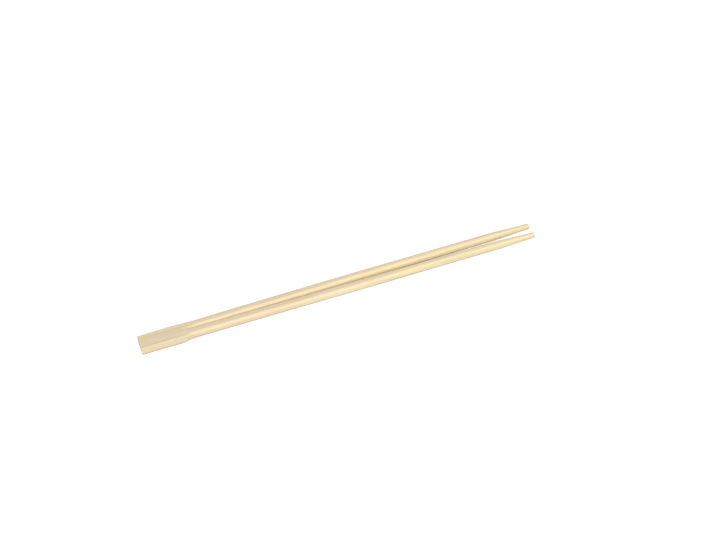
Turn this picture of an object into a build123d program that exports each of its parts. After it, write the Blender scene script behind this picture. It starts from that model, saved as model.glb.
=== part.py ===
from build123d import *
import os

os.makedirs("parts", exist_ok=True)

# One pair of bamboo chopsticks, milled from a single flat slat and still joined at the head.
# X runs from the square head to the two tips, Y across the pair, Z through the slat.
# The origin is at the middle of the pair's length and width, on the surface that it lies on.

# Slat
overall_length = 210.0
slat_thickness = 4.0

# Head, the square stretch of slat that holds the two sticks together. It ends where they have
# their full section.
head_length = 28.6
head_width = 11.4
head_edge_radius = 0.3

# Sticks, where they leave the head
slit_width = 0.4
shoulder_depth = 0.1
stick_edge_radius = 1.6

# Sticks at the end of the shank, where they stop being as thick as the slat. A spread is
# measured over both sticks.
shank_length = 110.0
shank_spread = 12.54
shank_width = 5.1

# Sticks at the waist, where the point starts
point_length = 22.0
waist_spread = 12.64
waist_width = 4.2
waist_thickness = 3.9
waist_edge_radius = 1.5

# Tips
tip_spread = 11.5
tip_width = 2.7
tip_thickness = 2.6
tip_edge_radius = 1.15
tip_end_radius = 0.6

# Cutters that leave the shoulders and the groove between the sticks
side_cutter_radius = 36.0
groove_cutter_radius = 22.0
groove_overlap = 0.3
cutter_clearance = 1.0

# Places that follow from the sizes
head_end_x = -overall_length / 2
tip_x = overall_length / 2
mid_height = slat_thickness / 2
half_slit = slit_width / 2
stick_side_y = head_width / 2 - shoulder_depth
root_spread = 2 * stick_side_y
root_width = stick_side_y - half_slit
root_x = head_end_x + head_length
shank_end_x = head_end_x + shank_length
waist_x = tip_x - point_length

# Each row is one section: place along X, spread, then a stick's width, thickness, edge radius
stick_sections = [
    (root_x, root_spread, root_width, slat_thickness, stick_edge_radius),
    (shank_end_x, shank_spread, shank_width, slat_thickness, stick_edge_radius),
    (waist_x, waist_spread, waist_width, waist_thickness, waist_edge_radius),
    (tip_x, tip_spread, tip_width, tip_thickness, tip_edge_radius),
]

with BuildPart() as twin_chopsticks:
    # Head and shoulders, as one square-edged length of slat with its edges just eased
    with BuildSketch(Plane.YZ.offset(head_end_x)):
        with Locations((0, mid_height)):
            Rectangle(head_width, slat_thickness)
    extrude(amount=root_x - head_end_x)
    long_edges = twin_chopsticks.edges().filter_by(Axis.X)
    end_edges = twin_chopsticks.faces().sort_by(Axis.X)[0].edges()
    fillet(long_edges + end_edges, radius=head_edge_radius)

    # Each side is milled by a form cutter with an upright spindle. Its rim has the outer half of
    # a stick's section, and its circle is the ramp of the shoulder.
    for side in (1, -1):
        spindle = Plane(
            origin=(root_x, side * (stick_side_y + side_cutter_radius), 0),
            x_dir=(0, -side, 0),
            z_dir=(-side, 0, 0),
        )
        with BuildSketch(spindle):
            with BuildLine():
                rim = side_cutter_radius
                lip = rim + stick_edge_radius
                Polyline((0, -cutter_clearance), (lip, -cutter_clearance), (lip, 0))
                RadiusArc((lip, 0), (rim, stick_edge_radius), stick_edge_radius)
                Line((rim, stick_edge_radius), (rim, slat_thickness - stick_edge_radius))
                RadiusArc(
                    (rim, slat_thickness - stick_edge_radius),
                    (lip, slat_thickness),
                    stick_edge_radius,
                )
                Polyline(
                    (lip, slat_thickness),
                    (lip, slat_thickness + cutter_clearance),
                    (0, slat_thickness + cutter_clearance),
                    (0, -cutter_clearance),
                )
            make_face()
        revolve(axis=Axis(spindle.origin, (0, 0, 1)), mode=Mode.SUBTRACT)

    # The groove is milled from above and from below with a level spindle. The two cuts meet
    # before the sticks leave the head, and run out in the head as a tongue that narrows.
    for up in (1, -1):
        spindle = Plane(
            origin=(root_x, 0, mid_height + up * (groove_cutter_radius - groove_overlap)),
            x_dir=(0, up, 0),
            z_dir=(1, 0, 0),
        )
        with BuildSketch(spindle):
            with BuildLine():
                rim = -groove_cutter_radius
                surface = rim + groove_overlap + slat_thickness - mid_height
                wall_top = surface - stick_edge_radius
                half_mouth = half_slit + stick_edge_radius
                inner = surface + cutter_clearance
                Polyline(
                    (half_mouth, surface),
                    (half_mouth, inner),
                    (-half_mouth, inner),
                    (-half_mouth, surface),
                )
                RadiusArc((-half_mouth, surface), (-half_slit, wall_top), stick_edge_radius)
                Polyline(
                    (-half_slit, wall_top),
                    (-half_slit, rim),
                    (half_slit, rim),
                    (half_slit, wall_top),
                )
                RadiusArc((half_slit, wall_top), (half_mouth, surface), stick_edge_radius)
            make_face()
        revolve(axis=Axis(spindle.origin, (0, 1, 0)), mode=Mode.SUBTRACT)

    # The two sticks part from the root on. They narrow a little towards the waist, mostly on
    # their inner sides, and then taper to the tip.
    for side in (1, -1):
        for x, spread, width, thickness, edge_radius in stick_sections:
            y = side * (spread - width) / 2
            with BuildSketch(Plane.YZ.offset(x)):
                with Locations((y, mid_height)):
                    RectangleRounded(width, thickness, edge_radius)
        loft(ruled=True)

    # The tips are blunt, with their rims rounded over
    tip_rims = twin_chopsticks.faces().group_by(Axis.X)[-1].edges()
    fillet(tip_rims, radius=tip_end_radius)

twin_chopsticks.part.label = "twin_chopsticks"
export_step(twin_chopsticks.part, "parts/twin_chopsticks.step")
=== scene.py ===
import math
import bpy
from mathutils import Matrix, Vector, noise


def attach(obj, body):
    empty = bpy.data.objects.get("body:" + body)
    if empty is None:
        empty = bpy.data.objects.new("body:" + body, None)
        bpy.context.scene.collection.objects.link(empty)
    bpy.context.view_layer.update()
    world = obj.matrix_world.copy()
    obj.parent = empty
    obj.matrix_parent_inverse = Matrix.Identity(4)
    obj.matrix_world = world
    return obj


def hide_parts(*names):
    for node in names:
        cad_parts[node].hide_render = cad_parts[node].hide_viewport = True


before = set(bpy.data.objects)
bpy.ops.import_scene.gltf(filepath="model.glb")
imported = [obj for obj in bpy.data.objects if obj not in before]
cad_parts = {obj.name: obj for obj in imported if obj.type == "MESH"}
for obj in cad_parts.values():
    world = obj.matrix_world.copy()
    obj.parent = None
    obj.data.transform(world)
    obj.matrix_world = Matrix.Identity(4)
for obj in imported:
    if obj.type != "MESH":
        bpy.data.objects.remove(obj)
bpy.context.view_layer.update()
scene = bpy.context.scene
scene.view_settings.view_transform = "Standard"
print("stage 1: the frame is loaded")

mm = 0.001
tiny = 1e-6                       # mm, for telling two places apart

# Sizes in millimetres. Heights are measured from the middle of the slat.
pair = {
    "length": 210.0,
    "thickness": 4.0,
    "headLength": 28.6,           # up to where the sticks have their full section
    "headWidth": 11.4,
    "headEdge": 0.3,
    "slitWidth": 0.4,
    "shoulder": 0.1,
    "stickEdge": 1.6,
    "shankLength": 110.0,
    "pointLength": 22.0,
    "shankEnd": (12.54, 5.1, 4.0, 1.6),   # spread over both sticks, width, thickness, edge radius
    "waist": (12.64, 4.2, 3.9, 1.5),
    "tip": (11.5, 2.7, 2.6, 1.15),
    "tipRim": 0.6,
    "sideCutter": 36.0,
    "grooveCutter": 22.0,
    "grooveOverlap": 0.3,
    "bows": {1: 0.44, -1: 0.20},  # how far the far and the near stick have warped sideways
    "bowSkew": 0.7,               # under 1, the warp is strongest nearer to the head
    "headShift": -0.30,           # the head stands nearer than the milled sticks
    "headShiftEnd": (-83.5, -79.0),
    "headFlare": 0.30,            # the head's near side widens towards the shoulder
    "tipWear": 0.9,               # the near tip is a little shorter than the far one
    "fibreRelief": 0.016,
    "broadFibre": (0.02, 2.1),    # cycles per mm, along and across
    "fineFibre": (0.05, 5.3),
    "broadShare": 0.65,
    "grainSeed": 41.7,
    "sharpAngle": 38,
}

# Steps of the mesh, across half a section from the groove outward and along the pair
meshDetail = {
    "wallSteps": 3,
    "lipSteps": 8,
    "topSteps": 14,
    "cornerSteps": (4, 8, 4),     # upper flat, round, lower flat
    "sideSteps": 3,
    "endRimSteps": 4,
    "tipRimSteps": 6,
    "headPitch": 0.75,
    "rampPitch": 0.4,
    "groovePitch": 0.35,
    "stickPitch": 0.95,
    "pointPitch": 0.7,
    "wallSlant": 0.12,            # how far the groove's walls lean where it starts
    "wallSlantLength": 1.5,
    "leastLip": 0.25,
    "headBreaks": (8, 82),        # degrees, where a corner's round begins and ends
    "stickBreaks": (30, 60),
    "breakLength": 6.0,
    "cornerSearch": (0.3, 2.6),
    "cornerHalvings": 34,
}


# Adds the places along the pair that follow from its sizes
def addPlaces(p):
    p["headEnd"] = -p["length"] / 2
    p["tipEnd"] = p["length"] / 2
    p["slit"] = p["slitWidth"] / 2
    p["stickSide"] = p["headWidth"] / 2 - p["shoulder"]
    p["rootWidth"] = p["stickSide"] - p["slit"]
    p["root"] = p["headEnd"] + p["headLength"]
    p["waistPlace"] = p["tipEnd"] - p["pointLength"]
    p["lipCentre"] = p["slit"] + p["stickEdge"]
    p["cornerY"] = p["stickSide"] - p["stickEdge"]
    p["cornerH"] = p["thickness"] / 2 - p["stickEdge"]
    p["grooveAxis"] = p["grooveCutter"] - p["grooveOverlap"]
    grooveRim = p["grooveAxis"] - p["thickness"] / 2
    p["grooveStart"] = p["root"] - math.sqrt(p["grooveCutter"] ** 2 - grooveRim ** 2)
    p["crotch"] = p["root"] - math.sqrt(p["grooveCutter"] ** 2 - p["grooveAxis"] ** 2)
    lipRadius = p["sideCutter"] + p["stickEdge"]
    reach = p["stickSide"] + p["sideCutter"] - p["headWidth"] / 2
    p["rampStart"] = p["root"] - math.sqrt(lipRadius ** 2 - reach ** 2)


# Rises from 0 at the first place to 1 at the last
def ramp(value, first, last):
    return min(max((value - first) / (last - first), 0.0), 1.0)


# Even steps from a start that isn't repeated to an end that is kept
def spread(start, end, count):
    return [start + (end - start) * k / count for k in range(1, count + 1)]


# Height of the top surface where the level cutter has passed, else the slat's own
def topHeight(p, x, y, skin):
    top = p["thickness"] / 2 - skin
    if x <= p["grooveStart"] or y >= p["lipCentre"]:
        return top
    radius = p["grooveCutter"]
    if y > p["slit"] + tiny:
        across = p["lipCentre"] - y
        rise = math.sqrt(max(p["stickEdge"] ** 2 - across ** 2, 0.0))
        radius = p["grooveAxis"] - p["cornerH"] - rise
    away = p["root"] - x
    if away >= radius:
        return top
    return max(min(top, p["grooveAxis"] - math.sqrt(radius ** 2 - away ** 2)), 0.0)


# Outer side at a height, with the eased edge of the head or the run-out of the side cutter
def sideReach(p, x, h, skin):
    top = p["thickness"] / 2 - skin
    edge = max(p["headEdge"] - skin, 0.0)
    reach = p["headWidth"] / 2 - skin
    if h > top - edge:
        reach -= edge - math.sqrt(max(edge ** 2 - (h - top + edge) ** 2, 0.0))
    radius = p["sideCutter"]
    if h > p["cornerH"]:
        drop = math.sqrt(max(p["stickEdge"] ** 2 - (h - p["cornerH"]) ** 2, 0.0))
        radius = p["sideCutter"] + p["stickEdge"] - drop
    away = p["root"] - x
    cut = p["stickSide"] + p["sideCutter"] - math.sqrt(radius ** 2 - away ** 2)
    return min(reach, cut)


# Distance from the corner's centre to the outline, along one angle
def cornerReach(p, x, angle, skin):
    near, far = meshDetail["cornerSearch"]
    for _ in range(meshDetail["cornerHalvings"]):
        half = (near + far) / 2
        y = p["cornerY"] + half * math.cos(angle)
        h = p["cornerH"] + half * math.sin(angle)
        inside = h <= p["thickness"] / 2 - skin and y <= sideReach(p, x, h, skin)
        near, far = (half, far) if inside else (near, half)
    return near


# Angles of a corner's points: sparse on the flats, dense on the round between the two breaks
def cornerAngles(upper, lower):
    first, middle, last = meshDetail["cornerSteps"]
    flats = spread(math.pi / 2, upper, first), spread(lower, 0.0, last)
    return flats[0] + spread(upper, lower, middle) + flats[1]


# Top half of one side of the head, from the groove outward and down to mid-height
def headSection(p, x, skin=0.0):
    detail = meshDetail
    slit = p["slit"]
    floor = topHeight(p, x, 0.0, skin)
    start = p["grooveStart"]
    lean = detail["wallSlant"] * (1 - ramp(x, start, start + detail["wallSlantLength"]))
    mouth = slit + lean
    wallTop = topHeight(p, x, mouth + 2 * tiny, skin)
    points = [(slit, floor)]
    for share in spread(0.0, 1.0, detail["wallSteps"]):
        points.append((slit + lean * share, floor + (wallTop - floor) * share))

    # The groove's lip rolls over into the flat top
    top = p["thickness"] / 2
    lipAngle = 0.0
    if x > start:
        radius = math.sqrt((p["grooveAxis"] - top) ** 2 + (p["root"] - x) ** 2)
        rise = (p["grooveAxis"] - p["cornerH"] - radius) / p["stickEdge"]
        lipAngle = math.asin(max(min(rise, 1.0), 0.0))
    width = max(p["stickEdge"] * (1 - math.cos(lipAngle)), detail["leastLip"])
    rolled = spread(0.0, math.pi / 2, detail["lipSteps"])
    across = [mouth + width * (1 - math.cos(angle)) for angle in rolled]
    across += spread(mouth + width, p["cornerY"], detail["topSteps"])
    points += [(y, topHeight(p, x, y, skin)) for y in across]

    # The corner's points follow the creases that the side cutter leaves
    halfWidth = p["headWidth"] / 2
    lowest, highest = [math.radians(a) for a in detail["headBreaks"]]
    upper = math.atan2(top - p["cornerH"], halfWidth - p["headEdge"] - p["cornerY"])
    lower = math.atan2(top - p["headEdge"] - p["cornerH"], halfWidth - p["cornerY"])
    if x > p["rampStart"]:
        lip = p["sideCutter"] + p["stickEdge"]
        away = p["root"] - x
        axis = p["stickSide"] + p["sideCutter"]
        crease = axis - math.sqrt(lip ** 2 - away ** 2) - p["cornerY"]
        turned = math.atan2(top - p["cornerH"], max(crease, tiny))
        upper = max(upper, min(turned, highest))
        fall = lip - math.sqrt((axis - halfWidth) ** 2 + away ** 2)
        if fall >= p["stickEdge"]:
            lower = lowest
        else:
            crease = math.sqrt(p["stickEdge"] ** 2 - max(fall, 0.0) ** 2)
            turned = math.atan2(crease, halfWidth - p["cornerY"])
            lower = min(lower, max(turned, lowest))
    for angle in cornerAngles(upper, lower):
        reach = cornerReach(p, x, angle, skin)
        out, up = reach * math.cos(angle), reach * math.sin(angle)
        points.append((p["cornerY"] + out, p["cornerH"] + up))
    side = sideReach(p, x, 0.0, skin)
    points += [(side, h) for h in spread(p["cornerH"], 0.0, detail["sideSteps"])]
    return points


# Top half of one stick, in the same order as the head's points
def stickSection(p, x, skin=0.0):
    detail = meshDetail
    root = (2 * p["stickSide"], p["rootWidth"], p["thickness"], p["stickEdge"])
    rows = [
        (p["root"], root),
        (p["headEnd"] + p["shankLength"], p["shankEnd"]),
        (p["waistPlace"], p["waist"]),
        (p["tipEnd"], p["tip"]),
    ]
    overall, width, thickness, edge = root
    for (start, first), (end, last) in zip(rows, rows[1:]):
        if start <= x <= end:
            share = (x - start) / (end - start)
            sizes = [a + (b - a) * share for a, b in zip(first, last)]
            overall, width, thickness, edge = sizes
    middle = (overall - width) / 2
    inner = middle - width / 2 + skin
    outer = middle + width / 2 - skin
    top = thickness / 2 - skin
    edge -= skin
    centre = top - edge
    points = [(inner, 0.0)]
    points += [(inner, h) for h in spread(0.0, centre, detail["wallSteps"])]
    for angle in spread(0.0, math.pi / 2, detail["lipSteps"]):
        points.append((inner + edge * (1 - math.cos(angle)), centre + edge * math.sin(angle)))
    points += [(y, top) for y in spread(inner + edge, outer - edge, detail["topSteps"])]

    # The breaks of the outer corner ease from the head's to the stick's own
    ease = ramp(x, p["root"], p["root"] + detail["breakLength"])
    breaks = zip(detail["headBreaks"], detail["stickBreaks"])
    lower, upper = [math.radians(first + (last - first) * ease) for first, last in breaks]
    for angle in cornerAngles(upper, lower):
        points.append((outer - edge * (1 - math.cos(angle)), centre + edge * math.sin(angle)))
    points += [(outer, h) for h in spread(centre, 0.0, detail["sideSteps"])]
    return points


# Places of the sections along the pair, each with how far it lies inside the full outline
def sectionPlaces(p):
    detail = meshDetail
    places = []
    edge = p["headEdge"]
    for angle in [math.pi / 2] + spread(math.pi / 2, 0.0, detail["endRimSteps"]):
        places.append((p["headEnd"] + edge * (1 - math.sin(angle)), edge * (1 - math.cos(angle))))
    stops = [
        (p["headEnd"] + edge, p["rampStart"], detail["headPitch"]),
        (p["rampStart"], p["grooveStart"], detail["rampPitch"]),
        (p["grooveStart"], p["crotch"], detail["groovePitch"]),
        (p["crotch"], p["root"], detail["groovePitch"]),
        (p["root"], p["waistPlace"], detail["stickPitch"]),
        (p["waistPlace"], p["tipEnd"] - p["tipRim"], detail["pointPitch"]),
    ]
    for start, end, pitch in stops:
        count = max(round((end - start) / pitch), 1)
        places += [(x, 0.0) for x in spread(start, end, count)]
    rim = p["tipRim"]
    for angle in spread(0.0, math.pi / 2, detail["tipRimSteps"]):
        places.append((p["tipEnd"] - rim + rim * math.sin(angle), rim * (1 - math.cos(angle))))
    return places


# How far the wood stands to the side of the true line. The two sides bow alike at the head's
# end, and each by its own amount from the root on. The head is shifted, and its near side
# flared, up to where the sticks are milled.
def sidestep(p, x, y):
    side = (y > 0) - (y < 0)
    bows = p["bows"]
    mean = (bows[1] + bows[-1]) / 2
    bow = mean
    if side:
        bow += (bows[side] - mean) * ramp(x, p["headEnd"], p["root"])
    along = (x - p["headEnd"]) / p["length"]
    start, end = p["headShiftEnd"]
    shift = p["headShift"]
    if side < 0:
        outward = max(y / p["stickSide"], -1.0)
        shift += p["headFlare"] * ramp(x, p["headEnd"], start) * outward
    past = ramp(x, start, end)
    eased = past * past * (3 - 2 * past)
    return bow * math.sin(math.pi * along ** p["bowSkew"]) + shift * (1 - eased)


# Fibres stand a little proud of the softer wood between them, along the whole slat
def fibreHeight(p, co):
    x, y, z = [c / mm for c in co]
    seed = p["grainSeed"]
    along, across = p["broadFibre"]
    broad = noise.noise(Vector((x * along + seed, y * across, z * across)))
    along, across = p["fineFibre"]
    fine = noise.noise(Vector((x * along, y * across + seed, z * across)))
    share = p["broadShare"]
    return p["fibreRelief"] * mm * (share * broad + (1 - share) * fine)


def buildPair(p):
    addPlaces(p)
    vertices, faces, endFaces = [], [], []

    def addVertex(x, y, h):
        tipWearAndPaintedFootShade = p["tipWear"] * ramp(x, p["waistPlace"], p["tipEnd"]) if y < 0 else 0.0
        place = (x - tipWearAndPaintedFootShade, y + sidestep(p, x, y), h + p["thickness"] / 2)
        vertices.append([c * mm for c in place])
        return len(vertices) - 1

    rings = {1: [], -1: []}
    ribs = []                     # middle points of the groove's two floors, up to the crotch
    for x, skin in sectionPlaces(p):
        joined = x < p["crotch"] - tiny
        atCrotch = abs(x - p["crotch"]) <= tiny
        half = headSection(p, x, skin) if x < p["root"] - tiny else stickSection(p, x, skin)
        whole = half + [(y, -h) for y, h in reversed(half[:-1])]
        for side in (1, -1):
            ring = [addVertex(x, side * y, h) for y, h in (whole if joined else whole[:-1])]
            rings[side].append(ring if joined else ring + ring[:1])
        if joined:
            ribs.append((addVertex(x, 0.0, half[0][1]), addVertex(x, 0.0, -half[0][1])))
        elif atCrotch:
            seam = addVertex(x, 0.0, 0.0)
            ribs.append((seam, seam))

    for side in (1, -1):
        for first, second in zip(rings[side], rings[side][1:]):
            for k in range(len(first) - 1):
                faces.append((first[k], first[k + 1], second[k + 1], second[k]))
        for k in range(len(ribs) - 1):
            first, second = rings[side][k], rings[side][k + 1]
            faces.append((ribs[k][0], first[0], second[0], ribs[k + 1][0]))
            faces.append((first[-1], ribs[k][1], ribs[k + 1][1], second[-1]))
        endFaces.append(tuple(rings[side][-1][:-1]))
    right, left = rings[1][0], rings[-1][0]
    endFaces.append((ribs[0][0], *right, ribs[0][1], *reversed(left)))

    mesh = bpy.data.meshes.new("joinedPair")
    mesh.from_pydata(vertices, [], faces + endFaces)
    mesh.validate()
    for polygon in list(mesh.polygons)[len(faces):]:
        polygon.material_index = 1
    piece = bpy.data.objects.new("joinedPair", mesh)
    scene.collection.objects.link(piece)
    bpy.context.view_layer.objects.active = piece
    piece.select_set(True)
    bpy.ops.object.mode_set(mode="EDIT")
    bpy.ops.mesh.select_all(action="SELECT")
    bpy.ops.mesh.normals_make_consistent(inside=False)
    bpy.ops.object.mode_set(mode="OBJECT")

    normals = [v.normal.copy() for v in mesh.vertices]
    for v, normal in zip(mesh.vertices, normals):
        flatness = 1 - abs(normal.x)
        v.co = v.co + normal * fibreHeight(p, v.co) * flatness
    mesh.shade_smooth()
    mesh.set_sharp_from_angle(angle=math.radians(p["sharpAngle"]))
    return piece


joinedPair = buildPair(pair)
print("stage 2: the pair is built,", len(joinedPair.data.polygons), "faces")


# A short way to add a node and fill its sockets
def addNode(tree, kind, values=None, **settings):
    node = tree.nodes.new(kind)
    for name, value in settings.items():
        setattr(node, name, value)
    for name, value in (values or {}).items():
        node.inputs[name].default_value = value
    return node


# Puts a value or another node's output into a socket
def feed(tree, source, socket):
    if isinstance(source, bpy.types.NodeSocket):
        tree.links.new(source, socket)
    else:
        socket.default_value = source


# A maths node with its inputs filled in their order
def addMath(tree, operation, *sources, kind="ShaderNodeMath", **settings):
    node = addNode(tree, kind, operation=operation, **settings)
    for source, socket in zip(sources, node.inputs):
        feed(tree, source, socket)
    return node.outputs[0]


def addVectorMath(tree, operation, *sources):
    return addMath(tree, operation, *sources, kind="ShaderNodeVectorMath")


# Turns the first of two ends into 0 and the second into 1
def addMask(tree, source, ends, curve="LINEAR"):
    values = {"From Min": ends[0], "From Max": ends[1]}
    node = addNode(tree, "ShaderNodeMapRange", values, interpolation_type=curve)
    tree.links.new(source, node.inputs["Value"])
    return node.outputs[0]


# A shader node group with its named values, and the two ends that are linked inside it
def makeGroup(name, given, results):
    group = bpy.data.node_groups.new(name, "ShaderNodeTree")
    for socket, start in given.items():
        made = group.interface.new_socket(socket, in_out="INPUT", socket_type="NodeSocketFloat")
        made.default_value = start
    for socket in results:
        group.interface.new_socket(socket, in_out="OUTPUT", socket_type="NodeSocketFloat")
    return group, addNode(group, "NodeGroupInput").outputs, addNode(group, "NodeGroupOutput").inputs


# The patterns in the wood. A stretch is a pattern's pace along, across and up the slat, in
# cycles per mm. For strands and fibres it is a share of the pace that their pitch or width gives.
grain = {
    "wanderStretch": (0.018, 0.12, 0.12),
    "wanderReach": (0.0, 1.6, 1.6),         # mm
    "strandStretch": (0.012, 1.0, 1.0),
    "strandScatter": 0.85,
    "strandEnds": (0.34, 0.14),             # distances from a strand's middle, in pitches
    "fibreStretch": (0.02, 1.0, 1.0),
    "fibreDetail": 3.0,
    "fibreRoughness": 0.62,
    "fibreEnds": (0.32, 0.68),
    "patches": [
        # name, whether it wanders with the strands, stretch, detail, ends
        ("Clouds", False, (0.03, 0.22, 0.22), 2.0, (0.3, 0.7)),
        ("Blush", False, (0.075, 0.3, 0.3), 2.0, (0.42, 0.62)),
        ("Flecks", True, (0.45, 5.2, 5.2), 1.0, (0.66, 0.78)),
    ],
    "ripeEnds": (-45.0, 40.0),              # mm along X
    # Where the painted shade at the foot of the head's sides lies
    "footTop": (1.3, 0.4),                  # mm above the lower face
    "footBottom": (0.02, 0.1),
    "footLength": (-77.0, -82.0),           # mm along X
}


# Strands that run the length of the slat: dots on a cut end, long streaks on a planed face
def makeStrandGroup(look):
    outputs = ["Strands", "Streaks", "Clouds", "Blush", "Flecks", "Ripeness", "PaintedFootShade"]
    inputs = {"Strand Pitch": 0.9, "Streak Width": 0.2, "Seed": 0.0}
    group, given, result = makeGroup("bambooStrands", inputs, outputs)
    link = group.links.new
    place = addNode(group, "ShaderNodeTexCoord")
    inMm = addNode(group, "ShaderNodeVectorMath", {"Scale": 1 / mm}, operation="SCALE")
    link(place.outputs["Object"], inMm.inputs[0])
    moved = addVectorMath(group, "ADD", inMm.outputs[0], given["Seed"])

    # The strands wander a little on their way along the slat
    wander = addNode(group, "ShaderNodeTexNoise", {"Scale": 1.0, "Detail": 1.0})
    link(addVectorMath(group, "MULTIPLY", moved, look["wanderStretch"]), wander.inputs["Vector"])
    centred = addVectorMath(group, "SUBTRACT", wander.outputs["Color"], (0.5, 0.5, 0.5))
    aside = addVectorMath(group, "MULTIPLY", centred, look["wanderReach"])
    bent = addVectorMath(group, "ADD", moved, aside)

    # Vascular bundles as round cells across the slat
    cells = addNode(group, "ShaderNodeTexVoronoi", {"Randomness": look["strandScatter"]})
    link(addVectorMath(group, "MULTIPLY", bent, look["strandStretch"]), cells.inputs["Vector"])
    link(addMath(group, "DIVIDE", 1.0, given["Strand Pitch"]), cells.inputs["Scale"])
    cores = addMask(group, cells.outputs["Distance"], look["strandEnds"], "SMOOTHSTEP")
    link(cores, result["Strands"])

    # Fine fibres between them
    values = {"Detail": look["fibreDetail"], "Roughness": look["fibreRoughness"]}
    fibres = addNode(group, "ShaderNodeTexNoise", values)
    link(addVectorMath(group, "MULTIPLY", bent, look["fibreStretch"]), fibres.inputs["Vector"])
    link(addMath(group, "DIVIDE", 0.5, given["Streak Width"]), fibres.inputs["Scale"])
    link(addMask(group, fibres.outputs["Fac"], look["fibreEnds"]), result["Streaks"])

    # Clouds of tone a few centimetres long, shorter and pinker patches, and short dark flecks
    # where a pore is cut open
    for name, wanders, stretch, detail, ends in look["patches"]:
        patch = addNode(group, "ShaderNodeTexNoise", {"Scale": 1.0, "Detail": detail})
        start = bent if wanders else moved
        link(addVectorMath(group, "MULTIPLY", start, stretch), patch.inputs["Vector"])
        link(addMask(group, patch.outputs["Fac"], ends), result[name])

    # The wood is riper and yellower from the middle of the pair on
    split = addNode(group, "ShaderNodeSeparateXYZ")
    link(inMm.outputs[0], split.inputs[0])
    ripe = addMask(group, split.outputs["X"], look["ripeEnds"], "SMOOTHSTEP")
    link(ripe, result["Ripeness"])

    # Painted shade: the foot of the head's sides is darker, though not its underside
    low = addMask(group, split.outputs["Z"], look["footTop"])
    aboveFace = addMask(group, split.outputs["Z"], look["footBottom"])
    onHead = addMask(group, split.outputs["X"], look["footLength"])
    lowSide = addMath(group, "MULTIPLY", low, aboveFace)
    link(addMath(group, "MULTIPLY", lowSide, onHead), result["PaintedFootShade"])
    return group


rippleFade = 3.0                  # mm at each end of the rippled stretch


# Fine ripples across the slat where the cutters ran out, between two places along it
def makeMillGroup(fade):
    inputs = {"From": -92.0, "To": -76.0, "Pitch": 0.8}     # mm
    group, given, result = makeGroup("cutterRipples", inputs, ["Ripples"])
    place = addNode(group, "ShaderNodeTexCoord")
    split = addNode(group, "ShaderNodeSeparateXYZ")
    group.links.new(place.outputs["Object"], split.inputs[0])
    along = addMath(group, "MULTIPLY", split.outputs["X"], 1 / mm)
    turns = addMath(group, "DIVIDE", along, given["Pitch"])
    wave = addMath(group, "SINE", addMath(group, "MULTIPLY", turns, 2 * math.pi))
    fadeIn = addMask(group, addMath(group, "SUBTRACT", along, given["From"]), (0.0, fade))
    fadeOut = addMask(group, addMath(group, "SUBTRACT", given["To"], along), (0.0, fade))
    between = addMath(group, "MULTIPLY", fadeIn, fadeOut)
    group.links.new(addMath(group, "MULTIPLY", wave, between), result["Ripples"])
    return group


strandGroup = makeStrandGroup(grain)
millGroup = makeMillGroup(rippleFade)

# Tones are linear colours, and a share is how far its tone goes over the ones before it
planedBamboo = {
    "pale": (0.905, 0.830, 0.560, 1),
    "warm": (0.800, 0.640, 0.400, 1),
    "ripe": (0.935, 0.805, 0.475, 1),
    "blush": (0.910, 0.715, 0.560, 1),
    # the next tone is painted shade for the foot of the head's sides
    "tipWearAndPaintedFootShade": (0.560, 0.480, 0.340, 1),
    "strand": (0.640, 0.470, 0.270, 1),
    "cloudShare": 1.0,
    "ripeShare": 0.75,
    "blushShare": 0.60,
    "streakShare": 0.60,
    "strandShare": 0.42,
    "fleckShare": 0.40,
    # how strongly the painted shade at the foot is laid on
    "paintedShadeShare": 0.75,
    "strandPitch": 0.85,          # mm, as the streaks' width
    "streakWidth": 0.22,
    "seed": 3.7,
    "rough": (0.56, 0.72),
    "relief": 0.00002,            # metres, for the height of a streak
    "fleckHeight": -0.6,          # shares of the relief
    "rippleHeight": 0.3,
    "ior": 1.45,
    "gloss": 0.2,
}

sawnEnd = {
    "pale": (0.780, 0.650, 0.500, 1),
    "warm": (0.720, 0.570, 0.410, 1),
    "ripe": (0.760, 0.620, 0.420, 1),
    "blush": (0.770, 0.620, 0.500, 1),
    # the next tone is painted shade for the foot of the head's sides
    "tipWearAndPaintedFootShade": (0.560, 0.450, 0.330, 1),
    "strand": (0.420, 0.290, 0.180, 1),
    "cloudShare": 1.0,
    "ripeShare": 0.60,
    "blushShare": 0.40,
    "streakShare": 0.30,
    "strandShare": 0.70,
    "fleckShare": 0.25,
    # how strongly the painted shade at the foot is laid on
    "paintedShadeShare": 0.20,
    "strandPitch": 0.62,
    "streakWidth": 0.16,
    "seed": 3.7,
    "rough": (0.70, 0.85),
    "relief": 0.00003,
    "fleckHeight": -0.6,
    "rippleHeight": 0.3,
    "ior": 1.45,
    "gloss": 0.2,
}


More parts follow.
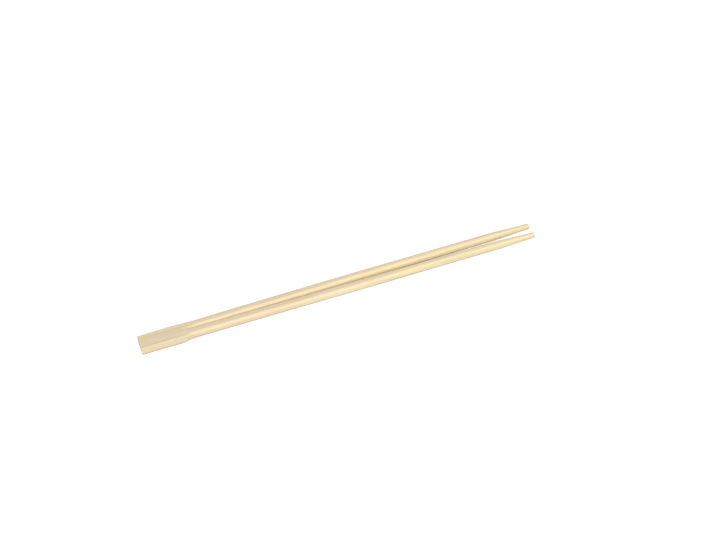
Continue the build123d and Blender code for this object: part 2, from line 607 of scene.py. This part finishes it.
def makeBamboo(name, look):
    material = bpy.data.materials.new(name)
    material.use_nodes = True
    tree = material.node_tree
    tree.nodes.clear()
    link = tree.links.new
    output = addNode(tree, "ShaderNodeOutputMaterial")
    values = {"IOR": look["ior"], "Specular IOR Level": look["gloss"]}
    shader = addNode(tree, "ShaderNodeBsdfPrincipled", values)
    link(shader.outputs[0], output.inputs["Surface"])
    strands = addNode(tree, "ShaderNodeGroup", node_tree=strandGroup)
    strands.inputs["Strand Pitch"].default_value = look["strandPitch"]
    strands.inputs["Streak Width"].default_value = look["streakWidth"]
    strands.inputs["Seed"].default_value = look["seed"]
    masks = strands.outputs

    # Each tone is laid over the ones before it. Sockets 6 and 7 are the mix node's two colours.
    layers = [
        ("warm", "Clouds", look["cloudShare"]),
        ("ripe", "Ripeness", look["ripeShare"]),
        ("blush", "Blush", look["blushShare"]),
        ("warm", "Streaks", look["streakShare"]),
        ("strand", "Strands", look["strandShare"]),
        ("strand", "Flecks", look["fleckShare"]),
        # painted shade darkens the foot of the head's sides
        ("tipWearAndPaintedFootShade", "PaintedFootShade", look["paintedShadeShare"]),
    ]
    tone = look["pale"]
    for above, mask, share in layers:
        mix = addNode(tree, "ShaderNodeMix", data_type="RGBA")
        link(addMath(tree, "MULTIPLY", masks[mask], share), mix.inputs["Factor"])
        feed(tree, tone, mix.inputs[6])
        feed(tree, look[above], mix.inputs[7])
        tone = mix.outputs[2]
    link(tone, shader.inputs["Base Color"])

    low, high = look["rough"]
    rough = addNode(tree, "ShaderNodeMapRange", {"To Min": low, "To Max": high})
    link(masks["Streaks"], rough.inputs["Value"])
    link(rough.outputs[0], shader.inputs["Roughness"])

    mill = addNode(tree, "ShaderNodeGroup", node_tree=millGroup)
    fine = addMath(tree, "MULTIPLY_ADD", masks["Flecks"], look["fleckHeight"], masks["Streaks"])
    height = addMath(tree, "MULTIPLY_ADD", mill.outputs["Ripples"], look["rippleHeight"], fine)
    bump = addNode(tree, "ShaderNodeBump", {"Strength": 1.0, "Distance": look["relief"]})
    link(height, bump.inputs["Height"])
    link(bump.outputs[0], shader.inputs["Normal"])
    return material


joinedPair.data.materials.append(makeBamboo("planedBamboo", planedBamboo))
joinedPair.data.materials.append(makeBamboo("sawnBambooEnd", sawnEnd))
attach(joinedPair, "root")
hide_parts("twin_chopsticks")
print("stage 3: the pair has its materials")

floorLook = {
    "width": 3.0,                 # metres, as the gap below the pair
    "tone": (0.45, 0.45, 0.45, 1),
    "lift": 0.76,                 # what the camera sees on top of the lit floor, up to white
    "gap": 0.00003,
}


# Is 1 for the rays that show the background: those of the camera, of gloss and of glass
def backgroundRays(tree):
    rays = addNode(tree, "ShaderNodeLightPath").outputs
    seen = addMath(tree, "ADD", rays["Is Camera Ray"], rays["Is Glossy Ray"], use_clamp=True)
    return addMath(tree, "ADD", seen, rays["Is Transmission Ray"], use_clamp=True)


def makeFloor(look):
    half = look["width"] / 2
    corners = [(-half, -half), (half, -half), (half, half), (-half, half)]
    mesh = bpy.data.meshes.new("studioFloor")
    mesh.from_pydata([(x, y, -look["gap"]) for x, y in corners], [], [(0, 1, 2, 3)])
    floor = bpy.data.objects.new("studioFloor", mesh)
    scene.collection.objects.link(floor)
    material = bpy.data.materials.new("paleFloor")
    material.use_nodes = True
    tree = material.node_tree
    tree.nodes.clear()
    link = tree.links.new
    output = addNode(tree, "ShaderNodeOutputMaterial")
    matt = addNode(tree, "ShaderNodeBsdfDiffuse", {"Color": look["tone"]})
    glow = addNode(tree, "ShaderNodeEmission", {"Color": (1, 1, 1, 1)})
    lift = addMath(tree, "MULTIPLY", backgroundRays(tree), look["lift"])
    link(lift, glow.inputs["Strength"])
    both = addNode(tree, "ShaderNodeAddShader")
    link(matt.outputs[0], both.inputs[0])
    link(glow.outputs[0], both.inputs[1])
    link(both.outputs[0], output.inputs["Surface"])
    mesh.materials.append(material)


makeFloor(floorLook)

studio = {
    "sky": 0.285,
    "lamps": [
        # name, place in metres, size, watts
        ("frontLamp", (-0.25, -1.02, 0.73), 0.8, 11.9),
        ("headLamp", (-1.05, -0.30, 0.40), 0.5, 2.0),
        ("sideLamp", (0.45, -0.25, 0.55), 0.5, 1.4),
    ],
}


def makeStudio(look):
    world = bpy.data.worlds.new("studioSky")
    scene.world = world
    world.use_nodes = True
    tree = world.node_tree
    tree.nodes.clear()
    link = tree.links.new
    output = addNode(tree, "ShaderNodeOutputWorld")
    sky = addNode(tree, "ShaderNodeBackground", {"Color": (1, 1, 1, 1), "Strength": look["sky"]})
    white = addNode(tree, "ShaderNodeBackground", {"Color": (1, 1, 1, 1), "Strength": 1.0})
    mix = addNode(tree, "ShaderNodeMixShader")
    link(backgroundRays(tree), mix.inputs[0])
    link(sky.outputs[0], mix.inputs[1])
    link(white.outputs[0], mix.inputs[2])
    link(mix.outputs[0], output.inputs["Surface"])
    for name, place, size, watts in look["lamps"]:
        data = bpy.data.lights.new(name, "AREA")
        data.size = size
        data.energy = watts
        lamp = bpy.data.objects.new(name, data)
        lamp.location = place
        lamp.rotation_euler = (-Vector(place)).to_track_quat("-Z", "Y").to_euler()
        scene.collection.objects.link(lamp)


makeStudio(studio)

# The camera stands on the near side, towards the head, and is tilted a little
cameraSet = {
    "place": (-0.13261, -0.56351, 0.40051),
    "turn": (55.731, 6.831, -18.785),      # degrees
    "lens": 70.044,
}
cameraData = bpy.data.cameras.new("photoCamera")
cameraData.lens = cameraSet["lens"]
photoCamera = bpy.data.objects.new("photoCamera", cameraData)
photoCamera.location = cameraSet["place"]
photoCamera.rotation_euler = [math.radians(a) for a in cameraSet["turn"]]
scene.collection.objects.link(photoCamera)
scene.camera = photoCamera
print("stage 4: the floor, the lamps and the camera are set")
